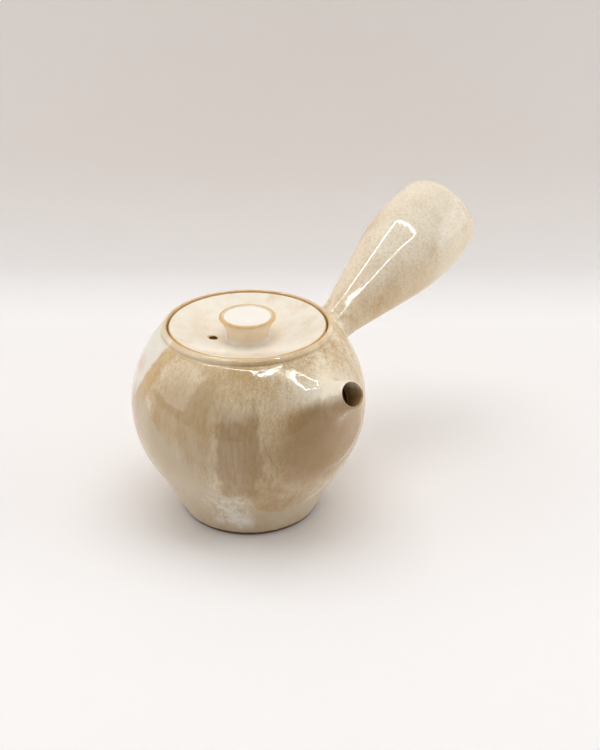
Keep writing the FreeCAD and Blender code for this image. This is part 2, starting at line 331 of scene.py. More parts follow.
def build_thin_edge():
    """Where the glaze runs thin over an edge the clay burns through it, ochre and then rust."""
    tree, given, made = new_group("thin_edge", [
        ("Color", "Color"), ("Thin", "Float"), ("Place", "Vector")], [("Color", "Color")])
    ragged = grain(tree, given["Place"], 420.0, 3.0)
    uneven = sums(tree, "MULTIPLY", sums(tree, "SUBTRACT", ragged, 0.5), 0.7)
    worn = sums(tree, "ADD", given["Thin"], uneven)
    colour = blend(tree, between(tree, worn, 0.25, 0.85), given["Color"], ochre)
    colour = blend(tree, between(tree, worn, 1.1, 1.5), colour, rust)
    colour = blend(tree, between(tree, worn, 1.7, 2.2), colour, bare)
    tree.links.new(colour, made["Color"])
    return tree


ash_glaze, thin_edge = build_ash_glaze(), build_thin_edge()


def glazed(name):
    """A material whose glossy shader waits for its colours."""
    finish = bpy.data.materials.new(name)
    finish.use_nodes = True
    tree = finish.node_tree
    gloss = tree.nodes["Principled BSDF"]
    gloss.inputs["IOR"].default_value = 1.52
    gloss.inputs["Coat Roughness"].default_value = 0.05
    return finish, tree, gloss


def wash(tree, colour, share, second, strength=1.0):
    """Lays a second colour over the first where share says."""
    return blend(tree, sums(tree, "MULTIPLY", share, strength), colour, second)


def lay_glaze_relief(tree, ash, gloss):
    """Crystals and strokes stand a little proud of the glaze."""
    bump = put(tree, "ShaderNodeBump", {
        "Height": ash.outputs["Relief"], "Strength": 0.1, "Distance": 0.02 * MM})
    tree.links.new(bump.outputs[0], gloss.inputs["Normal"])


belly, belly_height, rim_height = 48.0, 48.3, 82.6
foot, foot_recess, foot_ring, floor_height = 28.3, 2.0, 5.0, 6.0
lower_curve, flank_angle, wall = 44.0, 32.0, 3.0
rim_inner, lip, lip_foot, neck_foot, neck_groove, neck = 32.3, 34.5, 81.0, 79.6, 0.8, 35.6
seat, shelf_underside, mouth, glaze_pool = 77.8, 74.3, 27.8, 0.35
spout_height, spout_rise, spout_bore = 38.6, 30.4, 10.0
handle_height, handle_rise = 42.0, 28.0
front_bearing = 228.0

# What places each pour, run and flash of the glaze is u, the angle round the pot in degrees from the side that
# faces the front bearing, and z, the height in mm. The rough and ragged ones wander as a pour does.
pot_glaze, tree, gloss = glazed("ash_glaze_on_pot")
place = put(tree, "ShaderNodeTexCoord").outputs["Object"]
turned = put(tree, "ShaderNodeMapping", {"Vector": place, "Rotation": (0, 0, math.radians(-front_bearing))})
there = put(tree, "ShaderNodeSeparateXYZ", [turned.outputs[0]]).outputs
plain = put(tree, "ShaderNodeSeparateXYZ", [place]).outputs
sway = sums(tree, "SUBTRACT", grain(tree, place, 45.0, 4.0, 0.6), 0.5)
fray = sums(tree, "SUBTRACT", grain(tree, place, 260.0, 4.0, 0.6, (1, 1, 0.5)), 0.5)
u = sums(tree, "MULTIPLY", sums(tree, "ARCTAN2", there["Y"], there["X"]), math.degrees(1))
z = sums(tree, "MULTIPLY", there["Z"], 1 / MM)
u_rough = sums(tree, "ADD", u, sums(tree, "MULTIPLY", sway, 18.0))
u_ragged = sums(tree, "ADD", u, sums(tree, "MULTIPLY", fray, 9.0))
z_rough = sums(tree, "ADD", z, sums(tree, "ADD", sums(tree, "MULTIPLY", sway, 12.0),
                                   sums(tree, "MULTIPLY", fray, 7.0)))


def span(value, low, high, soft):
    """One between low and high, fading out over soft on each side."""
    return sums(tree, "MULTIPLY", between(tree, value, low - soft, low + soft),
                between(tree, value, high - soft, high + soft, 1.0, 0.0))


def both(*shares):
    """Where all of these hold."""
    total = shares[0]
    for share in shares[1:]:
        total = sums(tree, "MULTIPLY", total, share)
    return total


def above_line(reach, rise):
    """Height in mm over a line that climbs at this angle from the pot's foot; reach is how far out in metres."""
    return sums(tree, "SUBTRACT", z, sums(tree, "MULTIPLY", reach, math.tan(math.radians(rise)) / MM))


high = between(tree, z_rough, 62.0, 74.0)
on_handle = between(tree, plain["X"], 0.047, 0.056)
on_rim = both(between(tree, z, neck_foot + 0.1, neck_foot + 0.9),
              between(tree, plain["X"], 0.037, 0.040, 1.0, 0.0))
on_either = sums(tree, "MAXIMUM", on_handle, on_rim)
ash = put(tree, "ShaderNodeGroup", node_tree=ash_glaze, wires={
    "Place": put(tree, "ShaderNodeMapping", {"Vector": place, "Location": (0.013, 0.004, 0.0)}).outputs[0],
    "Cream": sums(tree, "ADD", sums(tree, "MULTIPLY", high, 0.04), sums(tree, "MULTIPLY", on_handle, 0.10)),
    "Frost": sums(tree, "ADD", sums(tree, "MULTIPLY", high, 0.6), 0.1),
    "Runs": sums(tree, "SUBTRACT", 0.40, sums(tree, "MULTIPLY", on_either, 0.34))})
skin = ash.outputs["Color"]
# The pale pour on the left ends in a slanting edge; the dark pour on the right ends in a curved one.
slant = sums(tree, "MULTIPLY", 0.5, sums(tree, "SUBTRACT", z, 70.0))
steep = sums(tree, "ADD", sums(tree, "SUBTRACT", u, slant), sums(tree, "MULTIPLY", fray, 4.0))
dip_middle, dip_lowest, dip_swing, dip_pace = 26.0, 14.5, 27.0, 1.6
dip = sums(tree, "ADD", dip_lowest, sums(tree, "MULTIPLY", dip_swing, sums(tree, "SUBTRACT", 1.0, sums(
    tree, "COSINE", sums(tree, "MULTIPLY", sums(tree, "SUBTRACT", u, dip_middle), dip_pace * math.radians(1))))))
above = sums(tree, "SUBTRACT", sums(tree, "ADD", z, sums(tree, "ADD", sums(tree, "MULTIPLY", sway, 4.0),
                                                         sums(tree, "MULTIPLY", fray, 2.0))), dip)
over_spout_line = above_line(plain["Y"], -spout_rise)
# The spout's top is paler, partly its glaze and partly painted light, and its underside darker, partly its glaze
# and partly painted shade.
spout_underside_glaze_and_painted_shade = both(between(tree, plain["Y"], -0.040, -0.048), between(tree, over_spout_line, 36.0, 42.0, 1.0, 0.0))
spout_top_glaze_and_painted_light = both(between(tree, plain["Y"], -0.036, -0.050), between(tree, over_spout_line, 38.0, 44.0))
over_axis = sums(tree, "SUBTRACT", above_line(plain["X"], handle_rise), handle_height)
dots = grain(tree, place, 900.0, 3.0, 0.65)
far_end = between(tree, plain["X"], 0.080, 0.098)
near_end = sums(tree, "SUBTRACT", 1.0, far_end)
washes = (
    # Honey over the shoulder, and the tan ground of the front.
    (both(span(u_rough, -44.0, 8.0, 8.0), high), honey, 0.4),
    (both(span(u_rough, -54.0, -12.0, 7.0), span(z_rough, 50.0, 72.0, 5.0)), tan, 0.5),
    # The dark band down the middle of the front, partly a run of glaze and partly painted shade where the front
    # faces away from the light, the olive left of it, and the dark pour right of it with a pale streak.
    (both(span(u_ragged, -13.0, 6.5, 2.0), span(z_rough, 26.0, 66.0, 6.0)), umber, 0.72),
    (both(span(u_rough, -50.0, -14.0, 8.0), span(z_rough, 36.0, 74.0, 6.0)), umber, 0.36),
    (both(span(u_rough, 4.0, 43.0, 7.0), span(z_rough, 8.0, 56.0, 8.0)), umber, 0.45),
    (both(span(u_ragged, 7.0, 20.0, 1.5), span(z_rough, 54.0, 73.0, 4.0)), cream, 0.22),
    (both(span(u_rough, -48.0, -15.0, 7.0), span(z_rough, 26.0, 54.0, 8.0)), slate, 0.4),
    # Below the pour the glaze is greyer, with a cream line along the pour's edge that is a painted highlight where
    # the glaze rolls thick.
    (between(tree, above, -1.2, 0.9, 1.0, 0.0), slate, 0.75),
    (both(span(above, -1.4, 0.6, 0.8), between(tree, u_rough, 26.0, 44.0)), cream, 0.5),
    # The white patch over the foot.
    (both(span(u_ragged, -24.0, 2.0, 5.0), span(z_rough, 6.0, 27.0, 4.0), between(tree, fray, -0.13, 0.10)),
     cool, 0.6),
    (both(span(u_ragged, -10.0, 4.0, 3.0), span(z_rough, 5.0, 12.0, 3.0)), cool, 0.5),
    # The slanting pale pour on the left, its honey edge, and two pink flashes.
    (both(span(steep, -65.5, -54.0, 1.6), between(tree, z_rough, 56.0, 60.0)), honey, 0.55),
    (both(span(steep, -130.0, -65.5, 1.4), span(z_rough, 60.0, 84.0, 5.0)), cool, 0.75),
    (both(span(u_rough, -74.0, -65.0, 4.0), span(z_rough, 41.0, 52.0, 4.0)), blush, 0.65),
    (both(span(u_rough, -84.0, -74.0, 4.0), span(z_rough, 66.0, 72.0, 3.0)), blush, 0.6),
    # Rim and spout. On the spout, the cream over its top is partly glaze and partly painted light, and the umber
    # under it partly glaze and partly painted shade.
    (on_rim, blend(tree, between(tree, sway, -0.12, 0.12), honey, cream), 0.45),
    (spout_top_glaze_and_painted_light, frost, 0.7),
    (spout_underside_glaze_and_painted_shade, umber, 0.8),
    # The handle: honey by the pot, white above as painted light on its top, tan below as painted shade on its
    # underside, fine honey specks, and frost at the far end.
    (both(on_handle, between(tree, sway, -0.16, 0.02), near_end), honey, 0.28),
    # Painted light on the handle's top and painted shade on its underside.
    (both(on_handle, between(tree, over_axis, 0.0, 12.0)), white, 0.3),
    (both(on_handle, between(tree, over_axis, -12.0, 0.0, 1.0, 0.0)), tan, 0.3),
    (both(on_handle, between(tree, dots, 0.48, 0.60)), honey, 0.30),
    (far_end, frost, 0.3))
for share, colour, strength in washes:
    skin = wash(tree, skin, share, colour, strength)
thin = put(tree, "ShaderNodeAttribute", attribute_name="thin").outputs["Fac"]
edged = put(tree, "ShaderNodeGroup", node_tree=thin_edge, wires={
    "Color": skin, "Thin": thin, "Place": place})
unglazed = between(tree, sums(tree, "ADD", z, fray), 1.5, 1.9, 1.0, 0.0)
skin = wash(tree, edged.outputs[0], unglazed, bare)
tree.links.new(skin, gloss.inputs["Base Color"])
glassy = sums(tree, "ADD", 0.065, sums(tree, "MULTIPLY", high, 0.015))
bare_clay = sums(tree, "MULTIPLY", unglazed, 0.6)
tree.links.new(sums(tree, "ADD", sums(tree, "MULTIPLY", ash.outputs["Dry"], 0.07),
                    sums(tree, "ADD", glassy, bare_clay)), gloss.inputs["Roughness"])
lay_glaze_relief(tree, ash, gloss)

flank = polar(1.0, 90 - flank_angle)
shoulder_curve = ((belly - neck) ** 2 + (neck_foot - belly_height) ** 2) / (2 * (belly - neck))


def flank_top(curve):
    """Where the straight flank over the foot turns into the belly's lower curve."""
    drop = polar(curve, flank_angle)
    return belly - lower_curve + drop[0], belly_height - drop[1]


outer = Rib(foot, 0.7)
outer.arrive(flank, flank_top(lower_curve)).arrive(UP, (belly, belly_height))
outer.leave(UP, (neck, neck_foot), 0.8)
pot_outline = np.array(outer.points)

pot_rib = Rib(0.0, foot_recess).straight((foot - foot_ring, foot_recess)).corner(0.7)
pot_rib.straight((foot - foot_ring + 0.4, 0.0)).corner(0.5).straight((foot - 0.5, 0.0)).corner(0.35)
pot_rib.straight((foot, 0.7)).corner(0.3)
pot_rib.points += outer.points[1:]
pot_rib.corner(0.6)
pot_rib.leave((-0.75, 0.66), (lip - neck_groove + glaze_pool, neck_foot + 0.6), 0.25).corner(0.5)
pot_rib.leave((0.45, 0.9), (lip, lip_foot), 0.2).corner(0.6)
pot_rib.leave(UP, (rim_inner, rim_height), 0.2).corner(0.5, thin=1.15, width=1.1)
pot_rib.straight((rim_inner, seat), 0.6).corner(0.5)
pot_rib.straight((mouth, seat), 0.6).corner(0.6)
pot_rib.straight((mouth, shelf_underside), 0.6).corner(0.8)
shelf_root = belly - shoulder_curve + math.sqrt(
    (shoulder_curve - wall) ** 2 - (shelf_underside - belly_height) ** 2)
pot_rib.straight((shelf_root, shelf_underside), 0.8).corner(2.0)
pot_rib.arrive(DOWN, (belly - wall, belly_height), 1.6).leave(DOWN, flank_top(lower_curve - wall), 1.6)
pot_rib.leave((-flank[0], -flank[1]), (foot - wall + 1.2, floor_height + 4.0), 1.6)
pot_rib.arrive(INWARD, (foot - wall - 4.0, floor_height)).straight((0.0, floor_height), 1.6)


def open_to_spout(tree, clay, seed):
    """The hole behind the spout, bored along the spout's own line. The seed has no use here."""
    lean, past_wall = math.radians(90 - spout_rise), 11.0
    reach = belly + past_wall
    place = (0, -reach * math.sin(lean), spout_height + reach * math.cos(lean))
    borer = drill(tree, spout_bore, spout_bore, 2 * past_wall, place, (lean, 0, 0))
    return cut_away(tree, clay, borer, solver="FLOAT")


pot = throw("pot_thrown", pot_rib, 240, 0.012, 2.7, pot_glaze, open_to_spout)
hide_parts("pot_body")
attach(pot, "pot")


# Spout and handle: both are thrown as tubes on the wheel, trimmed to the curve of the belly and luted on while
# damp. The joint is smoothed out into the pot with a wet finger.

ACROSS = 168
groove_foot = neck_foot - 0.25
CENTRE, UPRIGHT = np.zeros(3), np.array([0.0, 0.0, 1.0])


def wheel_line(foot_height, rise, bearing):
    """Where a luted tube's axis starts, its direction, and two directions square to it."""
    flat = polar(1.0, bearing)
    along = np.array([*(c * math.cos(math.radians(rise)) for c in flat), math.sin(math.radians(rise))])
    side = np.array([-flat[1], flat[0], 0.0])
    return np.array([0.0, 0.0, foot_height]), along, side, np.cross(along, side)


def from_clay(points, line, foot, along):
    """Distance in mm from points to a turned surface, less than zero inside it, and the way out of it."""
    out = points - foot
    height = out @ along
    off = out - height[:, None] * along
    radius = np.linalg.norm(off, axis=1)
    place = np.stack([radius, height], 1)
    start, run = line[:-1], np.diff(line, axis=0)
    t = np.clip(((place[:, None] - start) * run).sum(2) / (run ** 2).sum(1), 0, 1)
    nearest = start + t[..., None] * run
    gap = np.linalg.norm(place[:, None] - nearest, axis=2)
    best = gap.argmin(1)
    rows = np.arange(len(points))
    facing = np.stack([run[:, 1], -run[:, 0]], 1)[best]
    facing /= np.linalg.norm(facing, axis=1)[:, None]
    side = np.sign(((place - nearest[rows, best]) * facing).sum(1))
    gap = gap[rows, best]
    straight_out = (place - nearest[rows, best]) * (side / np.maximum(gap, 1e-9))[:, None]
    away = np.where((gap > 0.02)[:, None], straight_out, facing)
    return gap * side, away[:, :1] * off / np.maximum(radius, 1e-9)[:, None] + away[:, 1:] * along


def smeared(points, tube, axis, softness, proud):
    """Moves points to the surface where a tube and the pot flow into each other over this softness, and gives
    the way out of it."""
    points, softness = points.copy(), np.tile(softness, len(points) // ACROSS)
    for _ in range(24):
        d1, n1 = from_clay(points, tube, axis[0], axis[1])
        d2, n2 = from_clay(points, pot_outline, CENTRE, UPRIGHT)
        meet = np.clip(softness - np.abs(d1 - d2), 0, None) / softness
        near = np.minimum(d1, d2) - meet * meet * softness / 4 - proud
        share = np.where(d1 < d2, 1 - meet / 2, meet / 2)[:, None]
        way = share * n1 + (1 - share) * n2
        points -= (near / (way ** 2).sum(1))[:, None] * way
    return points, way / np.linalg.norm(way, axis=1)[:, None]


def round_axis(axis, radius, height):
    """Rings round a tube's axis: radius and height are numbers or one value for each step round."""
    turn = np.linspace(0, 2 * math.pi, ACROSS, endpoint=False)
    way = np.cos(turn)[:, None] * axis[2] + np.sin(turn)[:, None] * axis[3]
    height = np.broadcast_to(height, ACROSS)[:, None]
    return axis[0] + np.broadcast_to(radius, ACROSS)[:, None] * way + height * axis[1]


def meets_pot(axis, radius_at, low, high):
    """For each step round a tube, the height along it at which it comes out of the pot."""
    low, high = np.full(ACROSS, low), np.full(ACROSS, high)
    for _ in range(22):
        middle = (low + high) / 2
        inside = from_clay(round_axis(axis, radius_at(middle), middle), pot_outline, CENTRE, UPRIGHT)[0] < 0
        low, high = np.where(inside, middle, low), np.where(inside, high, middle)
    return low


def luted(name, axis, tube, thin, bore, softness, softer_above, least, spread, waist, reach, proud=0.02):
    """Builds a tube that flows into the pot. tube is its root, and its section from the waist out to the lip
    and back down its bore. The smear spreads over the belly by so many times its softness; where the groove
    under the rim leaves less room it is cut short, and its softness falls to the least."""
    root, line = tube
    low, high = reach
    radius_at = lambda h: np.interp(h, root[:, 1], root[:, 0])
    out_of_pot = meets_pot(axis, radius_at, low, high)
    rings, glaze = [], []
    steps = 18

    def on_pot(spread_to):
        wide = radius_at(out_of_pot) + spread_to
        return round_axis(axis, wide, meets_pot(axis, lambda h: wide, low - 14, high + 4))

    def up_to_groove(widest, lands):
        """How far the smear may spread at each step round before its edge climbs into the groove."""
        shares = np.linspace(0.02, 1.0, 20)
        heights = np.stack([lands(widest * share)[:, 2] for share in shares])
        too_high = heights > groove_foot
        beyond = np.maximum(np.where(too_high.any(0), too_high.argmax(0), len(shares) - 1), 1)
        at = np.arange(ACROSS)
        below, above = heights[beyond - 1, at], heights[beyond, at]
        part = np.clip((groove_foot - below) / np.maximum(above - below, 1e-6), 0, 1)
        stops_at = shares[beyond - 1] + part * (shares[1] - shares[0])
        return widest * np.where(too_high.any(0), stops_at, 1.0)

    turn = np.linspace(0, 2 * math.pi, ACROSS, endpoint=False)
    wanted = softness + softer_above * np.clip(np.sin(turn), 0, 1)
    room = up_to_groove(wanted * spread, on_pot)
    softness = np.clip(room / spread, least, wanted)
    for _ in range(10):
        softness = (np.roll(softness, 1) + softness + np.roll(softness, -1)) / 3
    room = up_to_groove(softness * spread,
                        lambda wide: smeared(on_pot(wide), root, axis, softness, proud)[0])
    for i in range(steps):
        rings.append(on_pot(room * (1 - i / steps) ** 1.2))
    for i in range(steps + 6):
        share = i / (steps + 6)
        height = out_of_pot + (waist - out_of_pot) * share
        rings.append(round_axis(axis, radius_at(height), height))
    flat, way_out = smeared(np.concatenate(rings), root, axis, softness, proud)
    rings = list(flat.reshape(-1, ACROSS, 3))
    out_of_belly = from_clay(flat, pot_outline, CENTRE, UPRIGHT)[1].reshape(-1, ACROSS, 3)
    for i, depth in enumerate((0.12, 0.075, 0.035)):
        rings[i] = rings[i] - depth * out_of_belly[i]
    rings.insert(0, rings[0] - 1.6 * out_of_belly[0])
    glaze += [0.0] * len(rings)
    for (r, h), t in zip(line, thin):
        rings.append(round_axis(axis, r, h))
        glaze.append(t)
    inner = meets_pot(axis, lambda h: np.full(ACROSS, bore), low - 6, high + 6)
    last = line[-1][1]
    for share in (0.35, 0.7, 1.0):
        radius = line[-1][0] + (bore - line[-1][0]) * share
        rings.append(round_axis(axis, radius, last + (inner - 0.6 - last) * share))
        glaze.append(thin[-1])
    points = np.concatenate(rings) * MM
    count = len(rings)
    i, j = np.meshgrid(np.arange(count), np.arange(ACROSS), indexing="ij")
    after, beside = (i + 1) % count, (j + 1) % ACROSS
    faces = np.stack([i * ACROSS + j, i * ACROSS + beside, after * ACROSS + beside, after * ACROSS + j], 2)
    mesh = bpy.data.meshes.new(name)
    mesh.from_pydata(points.tolist(), [], faces.reshape(-1, 4).tolist())
    mesh.attributes.new("thin", "FLOAT", "POINT").data.foreach_set(
        "value", np.repeat(glaze, ACROSS).astype(np.float32))
    mesh.shade_smooth()
    hidden = np.zeros(len(mesh.polygons), dtype=bool)
    hidden[:ACROSS], hidden[-2 * ACROSS:] = True, True
    mesh.attributes.new("sharp_face", "BOOLEAN", "FACE").data.foreach_set("value", hidden)
    mesh.materials.append(pot_glaze)
    mesh.update()
    normals = np.array([v.vector for v in mesh.vertex_normals])
    normals[ACROSS:ACROSS + len(way_out)] = way_out
    mesh.normals_split_custom_set_from_vertices(normals.tolist())
    piece = bpy.data.objects.new(name, mesh)
    bpy.context.scene.collection.objects.link(piece)
    return piece


spout_reach, spout_tip, spout_lip_wall, spout_taper, spout_tube = 70.3, 5.4, 0.75, 9.0, 7.3
flare_curve, flare_angle, throat_reach = 18.0, 40.0, 50.0
taper, flare = polar(1.0, spout_taper), polar(1.0, flare_angle)
lip_start = spout_reach - spout_lip_wall / 2
tube_end = lip_start - spout_tube
tube_radius = spout_tip + spout_tube * taper[1] / taper[0]
flare_end = tube_end - flare_curve * (flare[1] - taper[1])
flare_radius = tube_radius + flare_curve * (taper[0] - flare[0])
spout_root = Rib(flare_radius + (flare_end - 40.0) * flare[1] / flare[0], 40.0)
spout_root.straight((flare_radius, flare_end)).leave((-flare[1], flare[0]), (tube_radius, tube_end), 0.5)
spout_root.straight((spout_tip, lip_start), 0.8)
spout_waist = tube_end - 0.5
spout_tube_rib = Rib(float(np.interp(spout_waist, *np.array(spout_root.points).T[::-1])), spout_waist)
spout_tube_rib.straight((spout_tip, lip_start), 0.5)
spout_tube_rib.arrive(DOWN, (spout_tip - spout_lip_wall, lip_start), 0.12)
spout_tube_rib.corner(0.05, thin=0.7, width=0.8)
spout_tube_rib.leave(DOWN, (spout_bore, throat_reach), 0.8)
spout_axis = wheel_line(spout_height, spout_rise, -90.0)
spout_line, spout_thin = spout_tube_rib.section()
past_lip = np.arange(len(spout_line)) > spout_line[:, 1].argmax()
spout_thin = np.where(past_lip, np.maximum(spout_thin, np.interp(
    spout_line[:, 1], (throat_reach, lip_start - 14.0, lip_start - 8.0), (2.6, 2.2, 0.0))), spout_thin)
spout = luted(
    "spout_luted", spout_axis, (np.array(spout_root.points), spout_line), spout_thin, spout_bore - 0.1,
    softness=9.0, softer_above=5.0, least=6.0, spread=1.35, waist=spout_waist, reach=(41.0, 58.0))
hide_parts("spout")
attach(spout, "pot")

handle_root_radius, handle_wall = 8.2, 3.0
crown_reach, crown, crown_curve, handle_neck, handle_taper = 112.0, 19.9, 87.0, 50.0, 15.0
end_angle, end_round = 8.4, 8.5
lean, close = polar(1.0, handle_taper), polar(1.0, end_angle)
hub = (crown - crown_curve, crown_reach)
inner_curve = crown_curve - handle_wall
taper_end = (hub[0] + crown_curve * lean[0], hub[1] - crown_curve * lean[1])
handle_waist = crown_reach - handle_neck
waist_radius = taper_end[0] - (taper_end[1] - handle_waist) * lean[1] / lean[0]
inner_taper_end = (hub[0] + inner_curve * lean[0], hub[1] - inner_curve * lean[1])
inner_waist = (waist_radius - handle_wall * lean[0], handle_waist + handle_wall * lean[1])
shoulder = (hub[0] + crown_curve * close[0], hub[1] + crown_curve * close[1])
inner_shoulder = (hub[0] + inner_curve * close[0], hub[1] + inner_curve * close[1])
turn_radius = shoulder[0] - end_round * close[0]
end_reach = shoulder[1] + end_round * (1 - close[1])
handle_root = Rib(handle_root_radius, 44.0).arrive((lean[1], lean[0]), (waist_radius, handle_waist), 0.6)
handle_root.straight((taper_end[0], taper_end[1]))
handle_rib = Rib(waist_radius, handle_waist).straight(taper_end, 1.5)
handle_rib.leave((lean[1], lean[0]), shoulder, 1.2)
handle_rib.leave((-close[1], close[0]), (turn_radius, end_reach), 0.6)
handle_rib.arrive((-1.0, -0.15), (turn_radius - 1.5, end_reach - 1.5), 0.3).corner(0.6, thin=0.9, width=2.2)
handle_rib.arrive((0.6, -0.8), (turn_radius, end_reach - handle_wall), 0.3)
handle_rib.arrive((close[1], -close[0]), inner_shoulder, 1.2)
handle_rib.leave((-close[1], -close[0]), (crown - handle_wall, crown_reach))
handle_rib.leave(DOWN, inner_taper_end, 1.5).straight(inner_waist, 1.5)
handle_axis = wheel_line(handle_height, handle_rise, 0.0)
handle_line, handle_thin = handle_rib.section()
handle = luted(
    "handle_luted", handle_axis, (np.array(handle_root.points), handle_line), handle_thin,
    handle_root_radius - handle_wall,
    softness=6.0, softer_above=0.0, least=3.5, spread=1.15, waist=handle_waist, reach=(42.0, 58.0))
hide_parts("handle")
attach(handle, "pot")


# Strainer: a small dome pressed from a thin slab of the pot's clay, pierced with a round pin while it is leather
# hard and luted over the spout's hole on the inside of the wall.

dome, dome_wall, dome_rim = 13.0, 2.2, 0.3
pin, pin_pitch, pin_rows = 0.8, 2.9, 4
dome_place = 48.98

dome_rib = Rib(0.0, dome - dome_wall).leave(OUTWARD, (dome - dome_wall, dome_rim), 0.5)
dome_rib.straight((dome, dome_rim)).arrive(INWARD, (0.0, dome), 0.5)


def pierced(tree, clay, seed):
    """Holes in rings of six, twelve and so on round a middle one, a little uneven as a hand makes them."""
    total = 1 + 3 * pin_rows * (pin_rows + 1)
    pricks = put(tree, "GeometryNodeMeshLine", {"Count": total})
    number = put(tree, "GeometryNodeInputIndex").outputs[0]
    root = sums(tree, "SQRT", sums(tree, "ADD", 9.0, sums(tree, "MULTIPLY", 12.0, number)))
    row = sums(tree, "CEIL", sums(tree, "DIVIDE", sums(tree, "SUBTRACT", root, 3.001), 6.0))
    before = sums(tree, "ADD", 1.0, sums(tree, "MULTIPLY", 3.0, sums(
        tree, "MULTIPLY", row, sums(tree, "SUBTRACT", row, 1.0))))
    share = sums(tree, "DIVIDE", sums(tree, "SUBTRACT", number, before), sums(
        tree, "MAXIMUM", 1.0, sums(tree, "MULTIPLY", 6.0, row)))

    def stray(amount, own):
        drift = put(tree, "FunctionNodeRandomValue", data_type="FLOAT")
        for socket, value in zip([i for i in drift.inputs if i.enabled], (-amount, amount)):
            socket.default_value = value
        tree.links.new(sums(tree, "ADD", seed, own), drift.inputs["Seed"])
        return drift.outputs[1]

    turn = sums(tree, "ADD", stray(0.035, 1.0), sums(tree, "MULTIPLY", 2 * math.pi, share))
    lean = sums(tree, "ADD", stray(0.012, 2.0), sums(tree, "MULTIPLY", row, pin_pitch / dome))
    away = sums(tree, "SINE", lean)
    way = put(tree, "ShaderNodeCombineXYZ", [
        sums(tree, "MULTIPLY", away, sums(tree, "COSINE", turn)),
        sums(tree, "MULTIPLY", away, sums(tree, "SINE", turn)), sums(tree, "COSINE", lean)]).outputs[0]
    spot = put(tree, "ShaderNodeVectorMath", operation="SCALE", wires={
        "Vector": way, "Scale": (dome - dome_wall / 2) * MM}).outputs[0]
    placed = put(tree, "GeometryNodeSetPosition", {"Geometry": pricks.outputs[0], "Position": spot})
    facing = put(tree, "FunctionNodeAlignRotationToVector", {"Vector": way}, axis="Z")
    needle = put(tree, "GeometryNodeMeshCylinder", {
        "Vertices": 16, "Radius": pin * MM, "Depth": 2 * dome_wall * MM})
    needles = put(tree, "GeometryNodeInstanceOnPoints", {
        "Points": placed.outputs[0], "Instance": needle.outputs["Mesh"], "Rotation": facing.outputs[0]})
    return cut_away(tree, clay, put(tree, "GeometryNodeRealizeInstances", [needles.outputs[0]]).outputs[0])


strainer_glaze, tree, gloss = glazed("thin_glaze_on_strainer")
place = put(tree, "ShaderNodeTexCoord").outputs["Object"]
ash = put(tree, "ShaderNodeGroup", node_tree=ash_glaze, wires={
    "Place": place, "Cream": 0.02, "Frost": 0.3, "Runs": 0.2})
tree.links.new(ash.outputs["Color"], gloss.inputs["Base Color"])
tree.links.new(sums(tree, "ADD", 0.22, sums(tree, "MULTIPLY", ash.outputs["Dry"], 0.3)),
               gloss.inputs["Roughness"])
strainer = throw("strainer_pierced", dome_rib, 96, 0.0, 2.0, strainer_glaze, pierced)
along, side, other = -spout_axis[1], spout_axis[2], np.cross(-spout_axis[1], spout_axis[2])
middle = (spout_axis[0] + dome_place * spout_axis[1]) * MM
turned_rows = np.stack([side, other, along], 1)
strainer.data.transform(Matrix([[*row, step] for row, step in zip(turned_rows, middle)] + [[0, 0, 0, 1]]))
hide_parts("strainer")
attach(strainer, "pot")


# Lid and knob: the lid is thrown upside down as a shallow dish with a flange that drops into the mouth, and the
# knob is a small flared cone luted to its middle. A hole lets air in while the tea is poured. On every edge the
# glaze breaks to ochre.

lid_radius, lid_top, dish_bottom, lid_thickness, lid_edge_round = 31.7, 82.3, 75.3, 3.0, 0.8
flange, flange_wall, flange_foot = 27.4, 3.0, 69.6
vent, vent_distance, vent_bearing = 1.6, 13.9, 142.5

dish_edge, dish_depth = lid_radius - lid_edge_round, lid_top - dish_bottom
dish_curve = (dish_edge ** 2 + dish_depth ** 2) / (2 * dish_depth)
dish_hub, under_curve = dish_bottom + dish_curve, dish_curve + lid_thickness
flange_inner = flange - flange_wall


def dish(radius):
    """The height of the lid's hollow top at this radius."""
    return dish_hub - math.sqrt(dish_curve ** 2 - radius ** 2)


lid_rib = Rib(0.0, dish_hub - under_curve)
flange_root = dish_hub - math.sqrt(under_curve ** 2 - flange_inner ** 2)
lid_rib.leave(OUTWARD, (flange_inner, flange_root), 1.6).corner(1.2)
lid_rib.straight((flange_inner, flange_foot + flange_wall / 2), 0.8)
lid_rib.leave(DOWN, (flange - flange_wall / 2, flange_foot), 0.3)
lid_rib.leave(OUTWARD, (flange, flange_foot + flange_wall / 2), 0.3)
lid_rib.straight((flange, seat), 0.8).corner(0.3).straight((lid_radius, seat), 0.8).corner(0.4)
lid_rib.straight((lid_radius, lid_top - lid_edge_round), 0.6)
lid_rib.leave(UP, (dish_edge, lid_top), 0.15).corner(0.3)
lid_rib.rub((lid_radius - 0.2, lid_top - 0.3), 0.95, 1.0)
lid_rib.arrive(INWARD, (0.0, dish_bottom), 0.9)


def vented(tree, clay, seed):
    """The air hole, with its softened mouth. The seed has no use here."""
    spot = polar(vent_distance, vent_bearing)
    return cut_away(tree, clay, drill(tree, vent, vent, 12.0, (*spot, dish(vent_distance) + 5.0)),
                    drill(tree, 2.7, 1.5, 1.5, (*spot, dish(vent_distance) + 0.2)))


lid_glaze, tree, gloss = glazed("ash_glaze_on_lid")
place = put(tree, "ShaderNodeTexCoord").outputs["Object"]
ash = put(tree, "ShaderNodeGroup", node_tree=ash_glaze, wires={
    "Place": place, "Cream": 0.2, "Frost": 0.12, "Runs": 0.08})
thin = put(tree, "ShaderNodeAttribute", attribute_name="thin").outputs["Fac"]
from_vent = put(tree, "ShaderNodeMapping", vector_type="POINT", wires={
    "Vector": place, "Location": (*(-c * MM for c in polar(vent_distance, vent_bearing)), 0.0)})


